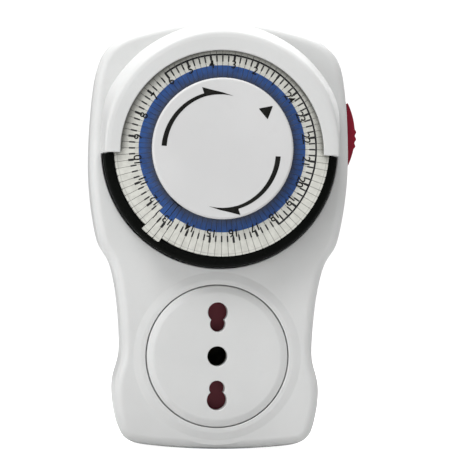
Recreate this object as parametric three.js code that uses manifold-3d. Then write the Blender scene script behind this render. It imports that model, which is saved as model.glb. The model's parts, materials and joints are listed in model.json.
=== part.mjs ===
// Plug-in 24-hour mechanical timer: a wall-plug housing with a segment dial above and a socket below.
//
// Every piece is drawn as seen from the front: x to the right, y up, z from the wall to the viewer.
// The outer group then turns the whole timer upright, so that it has +Z up and its front on -Y.
// The origin is where the dial's axis meets the flat back of the housing. Sizes are millimetres.

import * as THREE from "three";
import { mergeVertices } from "three/addons/utils/BufferGeometryUtils.js";
import Module from "manifold-3d";

const wasm = await Module();
wasm.setup();

// ---------------------------------------------------------------- driving dimensions

const GAP = 0.3; // clearance between neighbouring pieces
const WALL = 2; // casing wall
const SPLIT_Z = 14; // parting line of the two casing shells
const FACE_Z = 27; // front face of the casing
const HOOD_Z = 38; // front face of the hood over the dial
const HOOD_END_Y = -1.5; // the hood covers the dial above this height

const HOOD_OPENING_R = 29.8; // rim of the hood over the segments
const HOOD_OPENING_Y = -1; // the rim is set a little lower than the dial
const HOOD_EDGE_R = 33.1; // where the hood's flat face turns into its slope
const HOOD_OUTER_R = 37.2; // foot of the hood's rounded flank
const TRAY_OPENING_R = 35.2; // lower half of the casing's dial opening
const HOOD_ROOM_R = 33.3; // hollow under the hood, wide enough for a switched-on segment

const SEGMENTS = 96; // one per quarter of an hour
const SEGMENT_PITCH = THREE.MathUtils.degToRad(360 / SEGMENTS);
const SEGMENT_SLIT = THREE.MathUtils.degToRad(0.22); // half the slit between two segments
const MIDNIGHT = THREE.MathUtils.degToRad(36); // where the 24 h mark stands
const SWITCHED_ON = [51, 52, 53]; // quarter hours whose segments are pulled outwards
const SLIT_IN_R = 26; // the slits close up at this radius
const SEGMENT_IN_R = 19.5;
const SEGMENT_OUT_R = 31.5;
const SEGMENT_TRAVEL = 1.45;
const SEGMENT_Z = [30.3, 36.3];
const FOOT_IN_R = 23.9; // the segments' feet, which the trip lever feels
const FOOT_OUT_R = 25.4;
const FOOT_Z = 25.6;
const CARRIER_Z = [27.8, 29.9]; // disc that the segments slide on
const CARRIER_R = 23.4;

const CAP_R = 20.65;
const CAP_Z = [37, 39.5];
const SPINDLE_R = 2.2;

const SOCKET_Y = -61; // centre of the socket, and of the plug behind it
const SOCKET_R = 20.9;
const SOCKET_HOLE_R = 21.2;
const SOCKET_FACE_Z = 28.2;
const WIDE_PIN = { offset: 13, r: 2.95 }; // 16 A pin holes, 26 mm apart
const NARROW_PIN = { offset: 9.5, r: 2.3 }; // 10 A pin holes, 19 mm apart
const EARTH_HOLE_R = 2.95;
const PLUG_PIN_R = 2.5;
const PLUG_PIN_LENGTH = 19;
const CONTACT_TOP = 18.6; // mouths of the three socket contacts

const PLATE_Z = [14.5, 16]; // chassis plate that carries the movement
const RIVET_Z = 13.6; // pivot pins are riveted over below the plate
const SEAT_Z = PLATE_Z[1] + GAP; // where pins, screws and levers seat on the plate
const DIAL_GEAR = { teeth: 48, module: 0.8, z: [21, 23.5] };
const PINION = { teeth: 12, module: 0.8, z: [20.6, 24.2] }; // turns the dial gear
const WHEEL = { teeth: 36, module: 0.6, z: [17, 20] }; // moulded in one with the pinion
const MOTOR_PINION = { teeth: 12, module: 0.6, z: [17, 20] };
const REDUCTION_SIDE = 250; // direction from the dial's axis to the reduction gear, in degrees
const MOTOR_SIDE = 56.8; // direction from the reduction gear to the motor
const REDUCTION = polar(centreDistance(DIAL_GEAR, PINION), REDUCTION_SIDE);
const MOTOR = polar(centreDistance(WHEEL, MOTOR_PINION), MOTOR_SIDE).add(REDUCTION);

const OVERRIDE = new THREE.Vector2(19.4, 5.45); // pivot of the thumb lever
const OVERRIDE_R = 21.9;
const OVERRIDE_HALF_SWEEP = 32;
const OVERRIDE_MIDDLE = -5.6; // the thumb grip's middle at rest, in degrees
const RIBS = [-8.6, -3, 2.6]; // directions of the grip's three ribs, in degrees
const GRIP_Z = [PLATE_Z[0], 19.4];
const ARM_Z = [16.4, 19.2];
const TRIP = new THREE.Vector2(27.5, -10); // pivot of the trip lever
const NOSE = polar(FOOT_OUT_R + SEGMENT_TRAVEL + 1.25, 38); // its tip, just clear of a foot
const TRIP_Z = [20.3, 22.3];
const LEAF = 0.4; // thickness of the leaf springs

const CASING_SCREWS = [[27.5, 26.5], [-27.5, 26.5], [21.5, -80], [-21.5, -80]];
const CHASSIS_SCREWS = [[-26, -20], [27, -24], [-22, 20]];
const MOTOR_SCREWS = [-1, 1].map((side) => [MOTOR.x + side * 20.5, MOTOR.y]);

const LARGE = 48; // facets round the dial
const MEDIUM = 36; // facets round the socket and the motor
const HOLE = 20; // facets round a pin hole
const SMALL = 12;

// ---------------------------------------------------------------- solids

function polar(radius, degrees) {
  const angle = THREE.MathUtils.degToRad(degrees);
  return new THREE.Vector2(radius * Math.cos(angle), radius * Math.sin(angle));
}

function centreDistance(wheel, pinion) {
  return ((wheel.teeth + pinion.teeth) * wheel.module) / 2;
}

function signedVolume(position, index) {
  const [a, b, c] = [new THREE.Vector3(), new THREE.Vector3(), new THREE.Vector3()];
  let volume = 0;
  for (let i = 0; i < index.length; i += 3) {
    a.fromBufferAttribute(position, index[i]);
    b.fromBufferAttribute(position, index[i + 1]);
    c.fromBufferAttribute(position, index[i + 2]);
    volume += a.dot(b.cross(c)) / 6;
  }
  return volume;
}

// A closed three.js geometry becomes a solid that can be joined and cut.
function solid(geometry) {
  const bare = new THREE.BufferGeometry();
  bare.setAttribute("position", geometry.getAttribute("position"));
  bare.setIndex(geometry.getIndex());
  const merged = mergeVertices(bare, 1e-4);
  const position = merged.getAttribute("position");
  const triangles = [];
  for (let i = 0; i < merged.index.count; i += 3) {
    const [a, b, c] = [0, 1, 2].map((k) => merged.index.getX(i + k));
    if (a !== b && b !== c && c !== a) triangles.push(a, b, c);
  }
  if (signedVolume(position, triangles) < 0) triangles.reverse();
  return new wasm.Manifold(new wasm.Mesh({
    numProp: 3,
    vertProperties: new Float32Array(position.array),
    triVerts: new Uint32Array(triangles),
  }));
}

function surface(shape) {
  const { vertProperties, triVerts } = shape.getMesh();
  const geometry = new THREE.BufferGeometry();
  geometry.setAttribute("position", new THREE.BufferAttribute(vertProperties, 3));
  geometry.setIndex(new THREE.BufferAttribute(triVerts, 1));
  geometry.computeVertexNormals();
  return geometry;
}

const point = (x, y) => new THREE.Vector2(x, y);
const join = (...shapes) => shapes.reduce((whole, next) => whole.add(next));
const cut = (shape, ...tools) => tools.reduce((left, tool) => left.subtract(tool), shape);

function box(x, y, z) {
  const geometry = new THREE.BoxGeometry(x[1] - x[0], y[1] - y[0], z[1] - z[0]);
  geometry.translate((x[0] + x[1]) / 2, (y[0] + y[1]) / 2, (z[0] + z[1]) / 2);
  return solid(geometry);
}

function rod(centre, radius, z, facets = SMALL) {
  const geometry = new THREE.CylinderGeometry(radius, radius, z[1] - z[0], facets);
  geometry.rotateX(Math.PI / 2);
  geometry.translate(centre.x, centre.y, (z[0] + z[1]) / 2);
  return solid(geometry);
}

// profile: [radius, z] pairs, from axis to axis or closing on itself.
function turned(centre, profile, facets = SMALL) {
  const points = profile.map(([r, z]) => new THREE.Vector2(r, z));
  const geometry = new THREE.LatheGeometry(points, facets);
  geometry.rotateX(Math.PI / 2);
  geometry.translate(centre.x, centre.y, 0);
  return solid(geometry);
}

function washer(centre, inner, outer, z, facets = SMALL) {
  return turned(centre, [[inner, z[0]], [outer, z[0]], [outer, z[1]], [inner, z[1]], [inner, z[0]]], facets);
}

function prism(points, z, edge = 0) {
  const geometry = new THREE.ExtrudeGeometry(new THREE.Shape(points), {
    depth: z[1] - z[0] - 2 * edge,
    bevelEnabled: edge > 0,
    bevelThickness: edge,
    bevelSize: edge,
    bevelOffset: -edge,
    bevelSegments: 2,
  });
  geometry.translate(0, 0, z[0] + edge);
  return solid(geometry);
}

// A flat strip of sheet metal or a lever arm that follows a bent line.
function strip(line, thickness, z) {
  const centre = line.map(([x, y]) => point(x, y));
  const side = (sign) => centre.map((point, i) => {
    const before = centre[Math.max(i - 1, 0)];
    const after = centre[Math.min(i + 1, centre.length - 1)];
    const along = after.clone().sub(before).normalize();
    return new THREE.Vector2(-along.y, along.x).multiplyScalar((sign * thickness) / 2).add(point);
  });
  return prism([...side(1), ...side(-1).reverse()], z);
}

// Points along an arc, with from and to in degrees.
function arcPoints(radius, from, to, steps) {
  return Array.from({ length: steps + 1 }, (_, i) => polar(radius, from + ((to - from) * i) / steps));
}

function wire(points) {
  const path = new THREE.CatmullRomCurve3(points.map((p) => new THREE.Vector3(...p)));
  const section = new THREE.Shape(arcPoints(0.7, 0, 288, 4)); // a pentagon
  return solid(new THREE.ExtrudeGeometry(section, { extrudePath: path, steps: 12 }));
}

// ---------------------------------------------------------------- materials

function material(color, roughness, metalness = 0) {
  return new THREE.MeshStandardMaterial({ color, roughness, metalness });
}

const casingWhite = material(0xe2e3e1, 0.45);
const capWhite = material(0xdcdddb, 0.4);
const blackPlastic = material(0x0d0e0d, 0.35);
const dialCream = material(0xcfcfc6, 0.5);
const dialBlue = material(0x2d4b82, 0.5);
const red = material(0x9c1230, 0.4);
const maroon = material(0x4a2226, 0.5);
const nylon = material(0xe8e4d6, 0.45);
const phenolic = material(0x2b2522, 0.6);
const brass = material(0xb89650, 0.35, 1);
const nickel = material(0xb9b8b3, 0.3, 1);
const steel = material(0x9a9c9e, 0.4, 1);
const brownWire = material(0x5b3420, 0.5);
const blueWire = material(0x2a5aa8, 0.5);

// ---------------------------------------------------------------- casing

// Right half of the front outline, from the middle of the top edge down to the middle of the bottom edge.
function halfOutline() {
  const half = new THREE.Path();
  half.moveTo(0, 38.8);
  half.quadraticCurveTo(12.5, 38.8, 24.8, 35); // arched top
  half.bezierCurveTo(31.2, 33.2, 35, 30, 36.4, 24.5); // shoulder
  half.bezierCurveTo(37.5, 20.5, 38.6, 8, 38.6, -3); // flank of the head
  half.bezierCurveTo(38.6, -12, 37.1, -22, 35.2, -28.6);
  half.lineTo(32.2, -32.6); // step in to the neck
  half.bezierCurveTo(30.3, -37, 28.4, -48, 28.4, -60.5); // neck beside the socket
  half.bezierCurveTo(28.4, -64, 30.6, -66.5, 30.6, -71); // foot
  half.quadraticCurveTo(30.6, -76, 29.2, -81);
  half.bezierCurveTo(28.7, -85.2, 26.4, -86.9, 22.2, -87.3);
  half.quadraticCurveTo(11, -88.6, 0, -88.6);
  return half.getPoints(4);
}

function casingOutline(inset = 0) {
  const right = halfOutline();
  const left = right.slice(1, -1).reverse().map((p) => new THREE.Vector2(-p.x, p.y));
  const loop = [...right, ...left];
  return loop.map((point, i) => {
    const before = loop[(i + loop.length - 1) % loop.length];
    const after = loop[(i + 1) % loop.length];
    const along = after.clone().sub(before).normalize();
    return new THREE.Vector2(along.y, -along.x).multiplyScalar(inset).add(point);
  });
}

const AXIS = point(0, 0);
const SOCKET = point(0, SOCKET_Y);
const LINE = point(0, SOCKET_Y + WIDE_PIN.offset);
const NEUTRAL = point(0, SOCKET_Y - WIDE_PIN.offset);
const FAR = 60;

// Flat back with sunk casing screws, three posts for the chassis plate and three holes for the pins.
function rearCasing() {
  const shell = cut(
    prism(casingOutline(), [0, SPLIT_Z + 10], 1.5),
    box([-FAR, FAR], [-2 * FAR, FAR], [SPLIT_Z, FAR]),
    prism(casingOutline(WALL), [WALL + 0.2, FAR]),
  );
  const towers = CASING_SCREWS.map(([x, y]) => rod(point(x, y), 4.2, [1, 10.5]));
  const posts = CHASSIS_SCREWS.map(([x, y]) => rod(point(x, y), 3, [1, PLATE_Z[0] - GAP]));
  const bores = CASING_SCREWS.flatMap(([x, y]) => [
    rod(point(x, y), 3.1, [-1, 6]),
    rod(point(x, y), 1.7, [-1, FAR]),
  ]);
  const postHoles = CHASSIS_SCREWS.map(([x, y]) => rod(point(x, y), 1.4, [5, FAR]));
  const pins = [LINE, SOCKET, NEUTRAL].map((at) => rod(at, PLUG_PIN_R + GAP, [-1, 4], HOLE));
  return cut(join(shell, ...towers, ...posts), ...bores, ...postHoles, ...pins);
}

// Raised rim over the upper half of the dial, with a rounded flank.
function hood() {
  const inner = HOOD_OPENING_R + HOOD_OPENING_Y - 1; // leaves the whole rim to be cut to shape
  const ring = turned(AXIS, [
    [inner, FACE_Z - WALL], [HOOD_OUTER_R, FACE_Z - WALL], [HOOD_OUTER_R, FACE_Z + 0.5], [36.4, HOOD_Z - 5],
    [35, HOOD_Z - 1.7], [HOOD_EDGE_R, HOOD_Z], [inner, HOOD_Z], [inner, FACE_Z - WALL],
  ], LARGE);
  return cut(ring, box([-FAR, FAR], [-FAR, HOOD_END_Y], [0, FAR]));
}

// Low rim round the socket.
function socketSurround() {
  const [back, top] = [FACE_Z - WALL, FACE_Z + 1];
  const [inner, foot] = [20, 24.8];
  return turned(SOCKET, [
    [inner, back], [foot, back], [foot, FACE_Z], [22.4, top], [inner, top], [inner, back],
  ], MEDIUM);
}

function frontCasing() {
  const inside = FACE_Z - WALL;
  const behindSplit = box([-FAR, FAR], [-2 * FAR, FAR], [-1, SPLIT_Z + GAP]);
  const shell = join(
    cut(prism(casingOutline(), [0, FACE_Z], 3), behindSplit),
    hood(),
    socketSurround(),
  );
  const lowerHalf = box([-FAR, FAR], [-FAR, HOOD_END_Y], [-1, FAR]);
  const hollow = cut(
    shell,
    prism(casingOutline(WALL), [0, inside]),
    rod(AXIS, HOOD_ROOM_R, [inside - 1, SEGMENT_Z[1] + GAP], LARGE),
    rod(point(0, HOOD_OPENING_Y), HOOD_OPENING_R, [inside - 1, FAR], LARGE),
    rod(AXIS, TRAY_OPENING_R, [inside - 1, FAR], LARGE).intersect(lowerHalf),
    rod(SOCKET, SOCKET_HOLE_R, [inside - 1, FAR], MEDIUM),
  );
  const bosses = CASING_SCREWS.map(([x, y]) => rod(point(x, y), 3.2, [SPLIT_Z + 0.6, inside + 0.5]));
  const holes = CASING_SCREWS.map(([x, y]) => rod(point(x, y), 1.7, [SPLIT_Z, 22]));
  const sweep = OVERRIDE_R * Math.sin(THREE.MathUtils.degToRad(OVERRIDE_HALF_SWEEP + 6.4)) + 0.5;
  const slotEnds = [OVERRIDE.y - sweep, OVERRIDE.y + sweep];
  const leverSlot = box([30, FAR], slotEnds, [SPLIT_Z - 1, GRIP_Z[1] + 0.4]);
  return cut(join(hollow, ...bosses), ...holes, leverSlot);
}

// Cross-head screw, driven from the back.
function casingScrew() {
  const blank = turned(AXIS, [[0, 3], [2.7, 3], [2.7, 5.6], [1.35, 5.6], [1.35, 19], [0, 20.5]]);
  const slot = [-0.35, 0.35];
  const reach = [-1.7, 1.7];
  return cut(blank, box(slot, reach, [2, 4.2]), box(reach, slot, [2, 4.2]));
}

// Slotted cheese-head screw through the chassis plate.
function plateScrew(tip) {
  const top = SEAT_Z + 1.5;
  const blank = turned(AXIS, [[0, tip], [1.1, tip], [1.1, SEAT_Z], [2.3, SEAT_Z], [2.3, top], [0, top]]);
  return cut(blank, box([-0.3, 0.3], [-3, 3], [top - 0.6, top + 1]));
}

// ---------------------------------------------------------------- dial

// Outline of neighbouring segments seen from the front, with a slit between each pair.
function combOutline(first, count) {
  const outer = [];
  for (let k = first; k < first + count; k++) {
    const start = MIDNIGHT + (k - 0.5) * SEGMENT_PITCH + SEGMENT_SLIT;
    const end = MIDNIGHT + (k + 0.5) * SEGMENT_PITCH - SEGMENT_SLIT;
    outer.push([SEGMENT_OUT_R, start], [SEGMENT_OUT_R, end]);
    if (k < first + count - 1) outer.push([SLIT_IN_R, end + SEGMENT_SLIT]);
  }
  const inner = [];
  const span = count * SEGMENT_PITCH - 2 * SEGMENT_SLIT;
  const innerSteps = 31;
  for (let i = innerSteps; i >= 0; i--) {
    const angle = MIDNIGHT + (first - 0.5) * SEGMENT_PITCH + SEGMENT_SLIT + (span * i) / innerSteps;
    inner.push([SEGMENT_IN_R, angle]);
  }
  return [...outer, ...inner].map(([r, a]) => new THREE.Vector2(r * Math.cos(a), r * Math.sin(a)));
}

// All switched-off segments in one, with the ring of feet below them.
function segmentRing() {
  const first = SWITCHED_ON.at(-1) + 1;
  const count = SEGMENTS - SWITCHED_ON.length;
  const from = THREE.MathUtils.radToDeg(MIDNIGHT + (first - 0.5) * SEGMENT_PITCH + SEGMENT_SLIT);
  const to = THREE.MathUtils.radToDeg(MIDNIGHT + (first + count - 0.5) * SEGMENT_PITCH - SEGMENT_SLIT);
  const feet = [...arcPoints(FOOT_OUT_R, from, to, MEDIUM), ...arcPoints(FOOT_IN_R, to, from, MEDIUM)];
  return join(prism(combOutline(first, count), SEGMENT_Z), prism(feet, [FOOT_Z, SEGMENT_Z[0] + 1]));
}

// One switched-on segment, drawn pointing along +x and turned to its place on the dial.
function segment() {
  const half = SEGMENT_PITCH / 2 - SEGMENT_SLIT;
  const wedge = (inner, outer) => [[inner, -half], [outer, -half], [outer, half], [inner, half]]
    .map(([r, a]) => new THREE.Vector2(r * Math.cos(a) + SEGMENT_TRAVEL, r * Math.sin(a)));
  return join(
    prism(wedge(SEGMENT_IN_R, SEGMENT_OUT_R), SEGMENT_Z),
    prism(wedge(FOOT_IN_R, FOOT_OUT_R), [FOOT_Z, SEGMENT_Z[0] + 1]),
  );
}

function dialCarrier() {
  const [bore, foot] = [SPINDLE_R + 0.4, 20.5];
  const [under, top] = CARRIER_Z;
  return turned(AXIS, [
    [bore, foot], [4.5, foot], [4.5, under], [CARRIER_R, under], [CARRIER_R, top], [bore, top], [bore, foot],
  ], MEDIUM);
}

// Conical washer that lets the dial be set by hand: it presses the carrier off the driven gear.
function clutchSpring() {
  return turned(AXIS, [[5.2, 26.6], [9.5, 24.1], [9.5, 24.7], [5.2, 27.2], [5.2, 26.6]], HOLE);
}

// Black ring round the segments: a low drum below, a narrow ledge where the hood covers it.
function dialSurround() {
  const [inner, outer] = [SEGMENT_OUT_R + 0.1, TRAY_OPENING_R - GAP];
  const top = SEGMENT_Z[0] - GAP;
  const drum = turned(AXIS, [
    [inner, top - 1.4], [outer - 1.2, top - 1.4], [outer - 1.2, FACE_Z - 2.8], [outer, FACE_Z - 2.8],
    [outer, top - 0.8], [outer - 0.8, top], [inner, top], [inner, top - 1.4],
  ], LARGE);
  return join(
    washer(AXIS, inner, HOOD_ROOM_R - GAP, [top - 1.4, top], LARGE),
    cut(drum, box([-FAR, FAR], [HOOD_END_Y - GAP, FAR], [0, FAR])),
  );
}

// Fixed disc in the middle of the dial, on a socket that grips the end of the spindle.
function centreCap() {
  const [under, top] = CAP_Z;
  const rounding = 0.6;
  return turned(AXIS, [
    [0, 36.9], [2.5, 36.9], [2.5, 31.6], [5, 31.6], [5, under], [CAP_R - rounding, under],
    [CAP_R, under + rounding], [CAP_R, top - rounding], [CAP_R - rounding, top], [0, top],
  ], LARGE);
}

function dialSpindle() {
  return turned(AXIS, [
    [0, 13.3], [3.4, 13.3], [3.4, 14.2], [SPINDLE_R, 14.2], [SPINDLE_R, SEAT_Z], [4, SEAT_Z], [4, 17.5],
    [SPINDLE_R, 17.5], [SPINDLE_R, 36], [0, 36.5],
  ]);
}

// ---------------------------------------------------------------- movement

// Straight-sided teeth. phase is the direction in degrees in which one tooth stands.
function gear({ teeth, module, z }, centre, phase) {
  const pitchR = (teeth * module) / 2;
  const [root, tip] = [pitchR - 1.25 * module, pitchR + 0.85 * module];
  const step = 360 / teeth;
  const [flank, land] = [0.29 * step, 0.11 * step]; // half a tooth's width at its root and at its tip
  const outline = [];
  for (let i = 0; i < teeth; i++) {
    const middle = phase + i * step;
    outline.push(
      polar(root, middle - flank),
      polar(tip, middle - land),
      polar(tip, middle + land),
      polar(root, middle + flank),
    );
  }
  return prism(outline.map((p) => p.add(centre)), z);
}

function dialGear() {
  return cut(gear(DIAL_GEAR, AXIS, REDUCTION_SIDE), rod(AXIS, 4.9, [20, 25], HOLE));
}

// Phase at which a pinion turns a gap to the tooth of the wheel that lies on its given side.
function facing(side, { teeth }) {
  return side + 180 + 180 / teeth;
}

function reductionGear() {
  return cut(
    join(
      gear(WHEEL, REDUCTION, MOTOR_SIDE),
      rod(REDUCTION, 3.2, [WHEEL.z[1] - 0.5, PINION.z[0] + 0.3]),
      gear(PINION, REDUCTION, facing(REDUCTION_SIDE, PINION)),
    ),
    rod(REDUCTION, 1.3, [16, 25]),
  );
}

function motorPinion() {
  return join(
    gear(MOTOR_PINION, MOTOR, facing(MOTOR_SIDE, MOTOR_PINION)),
    rod(MOTOR, 1.2, [13.4, MOTOR_PINION.z[0] + 0.5]),
  );
}

// Sealed can of the synchronous motor and its reduction, hung from the chassis plate by two ears.
function motorBody() {
  const can = turned(MOTOR, [[0, 2.6], [16.3, 2.6], [17.5, 3.6], [17.5, 13], [0, 13]], MEDIUM);
  const [left, right] = MOTOR_SCREWS.map(([x]) => x);
  const ears = box([left - 2.6, right + 2.6], [MOTOR.y - 3, MOTOR.y + 3], [12, 13]);
  return cut(join(can, ears), ...MOTOR_SCREWS.map(([x, y]) => rod(point(x, y), 1.4, [11, 14])));
}

function chassisPlate() {
  const outline = [
    [-27, -38.5], [27, -38.5], [31.5, -26], [31.5, 14], [16, 32], [-16, 32], [-31.5, 14], [-31.5, -26],
  ].map(([x, y]) => point(x, y));
  const through = (centre, radius) => rod(centre, radius, [10, 20]);
  return cut(
    prism(outline, PLATE_Z),
    through(AXIS, SPINDLE_R + GAP),
    through(MOTOR, 3),
    ...[REDUCTION, OVERRIDE, TRIP].map((at) => through(at, 1.3)),
    ...[...CHASSIS_SCREWS, ...MOTOR_SCREWS].map(([x, y]) => through(point(x, y), 1.4)),
  );
}

// A pin standing on the chassis plate: a lever or gear turns between its shoulder and its head.
function pivotPin(centre, shoulder, head) {
  const top = head.z + 0.8;
  return turned(centre, [
    [0, RIVET_Z], [1, RIVET_Z], [1, SEAT_Z], [shoulder.r, SEAT_Z], [shoulder.r, shoulder.z],
    [1, shoulder.z], [1, head.z], [head.r, head.z], [head.r, top], [0, top],
  ]);
}

// ---------------------------------------------------------------- switch gear

// Thumb lever for switching on by hand. Its lift pin raises the trip lever.
function overrideLever() {
  const [low, high] = [-1, 1].map((side) => OVERRIDE_MIDDLE + side * OVERRIDE_HALF_SWEEP);
  const grip = [...arcPoints(OVERRIDE_R, low, high, 14), ...arcPoints(15.6, high, low, 6)];
  const ribs = RIBS.map((direction) => {
    const at = polar(OVERRIDE_R - 0.1, direction).add(OVERRIDE);
    return rod(at, 0.5, [GRIP_Z[0] + 0.4, GRIP_Z[1] - 0.4]);
  });
  const lift = 78; // side of the pivot on which the lift pin stands, in degrees
  return cut(
    join(
      rod(OVERRIDE, 4, ARM_Z, HOLE),
      strip([[OVERRIDE.x + 2, OVERRIDE.y], [OVERRIDE.x + 17, OVERRIDE.y - 1.2]], 5, ARM_Z),
      rod(polar(4, lift).add(OVERRIDE), 2.2, ARM_Z),
      rod(polar(5.2, lift).add(OVERRIDE), 1.4, [ARM_Z[0], TRIP_Z[1]]),
      prism(grip.map((p) => p.add(OVERRIDE)), GRIP_Z),
      ...ribs,
    ),
    rod(OVERRIDE, 1.9, [15, 21], HOLE),
  );
}

// Feels the segments' feet with its nose and presses the switch plunger with its lower end.
function tripLever() {
  return cut(
    join(
      strip([[TRIP.x, TRIP.y], [NOSE.x, NOSE.y]], 2.4, TRIP_Z),
      strip([[TRIP.x, TRIP.y], [26, -33]], 2.4, TRIP_Z),
      rod(TRIP, 2.6, TRIP_Z),
      rod(NOSE, 0.9, [TRIP_Z[0], 27.4]),
    ),
    rod(TRIP, 1.3, [19, 24]),
  );
}

// Leaf spring bowed against the override lever's hub, which holds the lever in its two positions.
function detentSpring() {
  return strip([[12, -3], [14, 0], [14.4, 5.5], [14, 11], [12, 14]], LEAF, ARM_Z);
}

// Leaf spring that presses the trip lever's nose inwards, onto the feet.
function tripSpring() {
  return strip([[28.9, -4], [27.4, 4], [26.4, 12], [28.5, 14]], LEAF, TRIP_Z);
}

// Snap switch with a recess for its plunger.
function switchBody() {
  return cut(
    box([6, 23], [-38, -28], [16.3, 24]),
    box([17, 24], [-32.4, -29.6], [19.9, 22.7]),
    rod(point(9, -33), 1.3, [15, 25]),
  );
}

function switchTerminal(x) {
  return box([x - 1.5, x + 1.5], [-40.8, -38.3], [19.5, 20.3]);
}

// ---------------------------------------------------------------- socket and plug

// Holes for both sizes of three-pin plug; the inner pair runs into the outer pair.
function pinHoles(z) {
  const pairs = [-1, 1].flatMap((side) => [WIDE_PIN, NARROW_PIN].map(({ offset, r }) => {
    return rod(point(0, SOCKET_Y + side * offset), r, z, HOLE);
  }));
  return join(...pairs, rod(SOCKET, EARTH_HOLE_R, z, HOLE));
}

function socketFace() {
  const disc = turned(SOCKET, [
    [0, 22.4], [SOCKET_R, 22.4], [SOCKET_R, 23.2], [23.6, 23.2], [23.6, 24.7], [SOCKET_R, 24.7],
    [SOCKET_R, SOCKET_FACE_Z - 1], [18.6, SOCKET_FACE_Z], [0, SOCKET_FACE_Z],
  ], MEDIUM);
  return cut(disc, pinHoles([20, 40]));
}

const SHUTTER_TRAVEL = 6.5;

// Slides sideways when a plug pushes it, so that its windows come to stand behind the pin holes.
function socketShutter() {
  const outline = [
    [-11.5, -13], [-7, -17.4], [4.8, -17.4], [4.8, 17.4], [-7, 17.4], [-11.5, 13],
  ].map(([x, y]) => point(x, SOCKET_Y + y));
  const half = 3.2;
  const window = [-SHUTTER_TRAVEL - half, -SHUTTER_TRAVEL + half];
  const through = [19, 23];
  return cut(
    prism(outline, [20.2, 21.6]),
    box(window, [SOCKET_Y + 6.8, SOCKET_Y + 16.3], through),
    box(window, [SOCKET_Y - 16.3, SOCKET_Y - 6.8], through),
    box([-SHUTTER_TRAVEL - half, half], [SOCKET_Y - 3.4, SOCKET_Y + 3.4], through),
  );
}

// Insulating block with a pocket for each contact and a groove for the line wire.
function contactCarrier() {
  const top = 19.2;
  const pocket = (side, floor) => {
    const ends = [SOCKET_Y + side * 6.2, SOCKET_Y + side * 17].sort((a, b) => a - b);
    return box([-4, 4], ends, [floor, FAR]);
  };
  const springStop = box([17.2, 19], [SOCKET_Y - 3, SOCKET_Y + 3], [top - 1, 21.8]);
  return cut(
    join(rod(SOCKET, 19.5, [8.9, top], MEDIUM), springStop),
    pocket(1, 9.9),
    pocket(-1, 8),
    rod(SOCKET, 4.2, [8, FAR], HOLE),
    box([3.9, FAR], [LINE.y - 1.3, LINE.y + 1.3], [15.6, FAR]),
  );
}

// A sprung clip open towards the front, holding a pin of either spacing.
function contactClip(side, floor) {
  const ends = [SOCKET_Y + side * 6.6, SOCKET_Y + side * 16.6].sort((a, b) => a - b);
  const [outer, inner] = [3.4, 2.8];
  return join(
    box([-outer, outer], ends, [floor, floor + outer - inner]),
    box([-outer, -inner], ends, [floor, CONTACT_TOP]),
    box([inner, outer], ends, [floor, CONTACT_TOP]),
  );
}

function earthContact() {
  const [under, floor] = [9.2, 9.8];
  const [outer, inner] = [3.6, 3];
  return turned(SOCKET, [
    [0, under], [outer, under], [outer, CONTACT_TOP], [inner, CONTACT_TOP], [inner, floor], [0, floor],
  ], HOLE);
}

// sleeved: the half next to the housing is thinner, to take an insulating sleeve.
function plugPin(centre, sleeved, inner) {
  const neck = sleeved ? 1.8 : PLUG_PIN_R;
  const [tip, shoulder, collar] = [-PLUG_PIN_LENGTH, sleeved ? -10 : -9, 2.6];
  return turned(centre, [
    [0, tip], [1.6, tip + 0.4], [PLUG_PIN_R, tip + 1.4], [PLUG_PIN_R, -10], [neck, shoulder],
    [neck, collar], [4, collar], [4, collar + 1.4], [2.2, collar + 1.4], [2.2, inner], [0, inner],
  ]);
}

function pinSleeve(centre) {
  return washer(centre, 2.1, PLUG_PIN_R, [-9.7, 2.2]);
}

// Bar that holds the collars of the plug pins down on the back of the housing.
function pinClamp() {
  const holes = [LINE, SOCKET, NEUTRAL].map((at) => rod(at, 2.5, [3, 9], HOLE));
  return cut(box([-7, 7], [SOCKET_Y - 18, SOCKET_Y + 18], [4.4, 8]), ...holes);
}

// Line of a coil spring that lies along x.
class Coil extends THREE.Curve {
  constructor(start, length, radius, turns) {
    super();
    Object.assign(this, { start, length, radius, turns });
  }

  getPoint(t, target = new THREE.Vector3()) {
    const angle = 2 * Math.PI * this.turns * t;
    const offset = [this.length * t, this.radius * Math.cos(angle), this.radius * Math.sin(angle)];
    return target.set(...offset).add(this.start);
  }
}

// Pushes the shutter closed, from a stop on the contact carrier.
function shutterSpring() {
  const coil = new Coil(new THREE.Vector3(5.2, SOCKET_Y, 20.8), 11.6, 0.95, 5);
  const section = new THREE.Shape(arcPoints(0.25, 0, 270, 3));
  return solid(new THREE.ExtrudeGeometry(section, { extrudePath: coil, steps: 45 }));
}

// ---------------------------------------------------------------- assembly

const timer = new THREE.Group();
timer.name = "plug_in_timer";
timer.rotation.x = Math.PI / 2;

function place(name, shape, finish, at = [0, 0], turn = 0) {
  const mesh = new THREE.Mesh(surface(shape), finish);
  mesh.name = name;
  mesh.position.set(at[0], at[1], 0);
  mesh.rotation.z = turn;
  timer.add(mesh);
}

place("rear_casing", rearCasing(), casingWhite);
place("front_casing", frontCasing(), casingWhite);
CASING_SCREWS.forEach((at, i) => place(`casing_screw_${i + 1}`, casingScrew(), steel, at));

place("dial_surround", dialSurround(), blackPlastic);
place("segment_ring", segmentRing(), dialCream);
SWITCHED_ON.forEach((k, i) => {
  place(`segment_on_${i + 1}`, segment(), dialCream, [0, 0], MIDNIGHT + k * SEGMENT_PITCH);
});
place("dial_carrier", dialCarrier(), dialBlue);
place("clutch_spring", clutchSpring(), steel);
place("dial_gear", dialGear(), nylon);
place("dial_spindle", dialSpindle(), steel);
place("spindle_clip", washer(AXIS, SPINDLE_R + GAP, 4.4, [30.3, 31.1]), steel);
place("centre_cap", centreCap(), capWhite);

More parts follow.
